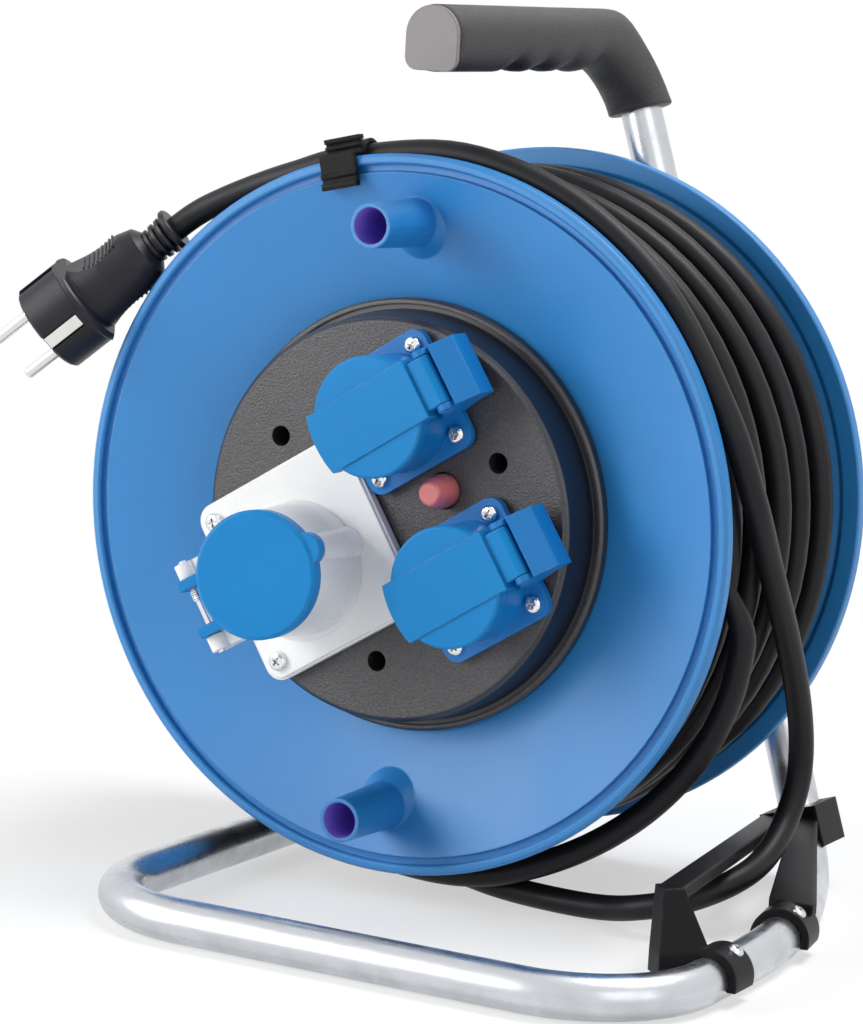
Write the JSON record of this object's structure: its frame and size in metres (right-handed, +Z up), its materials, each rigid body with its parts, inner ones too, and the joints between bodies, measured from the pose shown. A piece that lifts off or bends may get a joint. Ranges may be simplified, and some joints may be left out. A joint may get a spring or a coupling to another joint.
{
  "type": "extension cord reel",
  "caption": "Cable reel that turns on a bent tube stand, with sprung-lid sockets and a reset button in the hub, a wound rubber cable and a moulded plug clipped to the rim.",
  "frame": {"origin": "on the floor, below the middle of the reel's own outline without its free cable", "axes": "+Z up, -Y towards the user and out of the sockets, drum axis along Y"},
  "size_m": [0.3542, 0.275, 0.35],
  "materials": {
    "galvanised_steel": "bright zinc plated tube, lightly brushed",
    "black_grip": "grained soft plastic",
    "zinc_steel": "turned and zinc plated",
    "chromed_steel": "bright plated",
    "black_moulding": "fine moulded grain",
    "black_rubber": "moulded rubber, satin",
    "cable_rubber": "extruded rubber sheath, satin",
    "blue_plastic": "fine moulded grain, satin gloss",
    "hub_plastic": "coarse leather grain",
    "lid_plastic": "smooth satin",
    "white_plastic": "smooth satin",
    "bearing_plastic": "turned, smooth",
    "contact_brass": "bright",
    "dark_plastic": "smooth",
    "ivory_plastic": "smooth",
    "seal_rubber": "soft, matte",
    "red_rubber": "translucent silicone, satin",
    "red_plastic": "smooth",
    "brown_wire": "smooth insulation",
    "blue_wire": "smooth insulation",
    "green_yellow_wire": "smooth insulation"
  },
  "bodies": {
    "frame": {"tube_frame": "galvanised_steel", "grip": "black_grip", "grip_end_cap": "black_grip", "axle": "zinc_steel", "axle_washers": "zinc_steel", "axle_nut": "zinc_steel", "axle_end_screw": "zinc_steel", "cable_guide": "black_moulding", "guide_screws": "chromed_steel", "rim_clip": "black_moulding", "plug_body": "black_rubber", "plug_pins": "chromed_steel", "plug_earth_strips": "chromed_steel", "plug_sleeve": "black_rubber", "free_cord": "cable_rubber", "loose_turn": "cable_rubber"},
    "drum": {"front_flange": "blue_plastic", "rear_flange": "blue_plastic", "barrel": "blue_plastic", "flange_screws": "zinc_steel", "bearing_bushes": "bearing_plastic", "winding_core": "cable_rubber", "winding": "cable_rubber", "hub_cover": "hub_plastic", "hub_cover_screws": "zinc_steel", "schuko_a_body": "lid_plastic", "schuko_b_body": "lid_plastic", "schuko_contacts": "contact_brass", "schuko_earth_clips": "chromed_steel", "schuko_gaskets": "seal_rubber", "schuko_screws": "chromed_steel", "schuko_hinge_pins": "chromed_steel", "schuko_springs": "zinc_steel", "cee_body": "white_plastic", "cee_insert": "dark_plastic", "cee_contacts": "contact_brass", "cee_gasket": "seal_rubber", "cee_screws": "chromed_steel", "cee_hinge_pin": "chromed_steel", "cee_spring": "zinc_steel", "thermal_cutout": "dark_plastic", "terminal_block": "ivory_plastic", "strain_relief": "dark_plastic", "cable_tail": "cable_rubber", "live_wire": "brown_wire", "neutral_wire": "blue_wire", "earth_wire": "green_yellow_wire"},
    "schuko_a_lid": {"schuko_a_lid": "lid_plastic", "schuko_a_seal": "seal_rubber"},
    "schuko_b_lid": {"schuko_b_lid": "lid_plastic", "schuko_b_seal": "seal_rubber"},
    "cee_lid": {"cee_lid": "lid_plastic", "cee_seal": "seal_rubber"},
    "reset_button": {"reset_button": "red_plastic", "reset_boot": "red_rubber"}
  },
  "joints": [
    {"name": "drum_spin", "type": "hinge", "parent": "frame", "child": "drum", "pos_m": [-0.01775, 0.039, 0.1525], "axis": [0, 1, 0], "continuous": true},
    {"name": "schuko_a_lid_hinge", "type": "hinge", "parent": "drum", "child": "schuko_a_lid", "pos_m": [0.01301, -0.0607, 0.21154], "axis": [-0.5446, 0, 0.8387], "range_deg": [0, 110], "stiffness_Nm_per_rad": 0.02, "springref_deg": -20.05},
    {"name": "schuko_b_lid_hinge", "type": "hinge", "parent": "drum", "child": "schuko_b_lid", "pos_m": [0.04961, -0.0607, 0.15134], "axis": [-0.5446, 0, 0.8387], "range_deg": [0, 110], "stiffness_Nm_per_rad": 0.02, "springref_deg": -20.05},
    {"name": "cee_lid_hinge", "type": "hinge", "parent": "drum", "child": "cee_lid", "pos_m": [-0.06954, -0.08235, 0.11785], "axis": [0.5299, 0, -0.848], "range_deg": [0, 110], "stiffness_Nm_per_rad": 0.03, "springref_deg": -20.05},
    {"name": "reset_press", "type": "slide", "parent": "drum", "child": "reset_button", "axis": [0, 1, 0], "range_m": [0, 0.0025], "stiffness_N_per_m": 600}
  ]
}
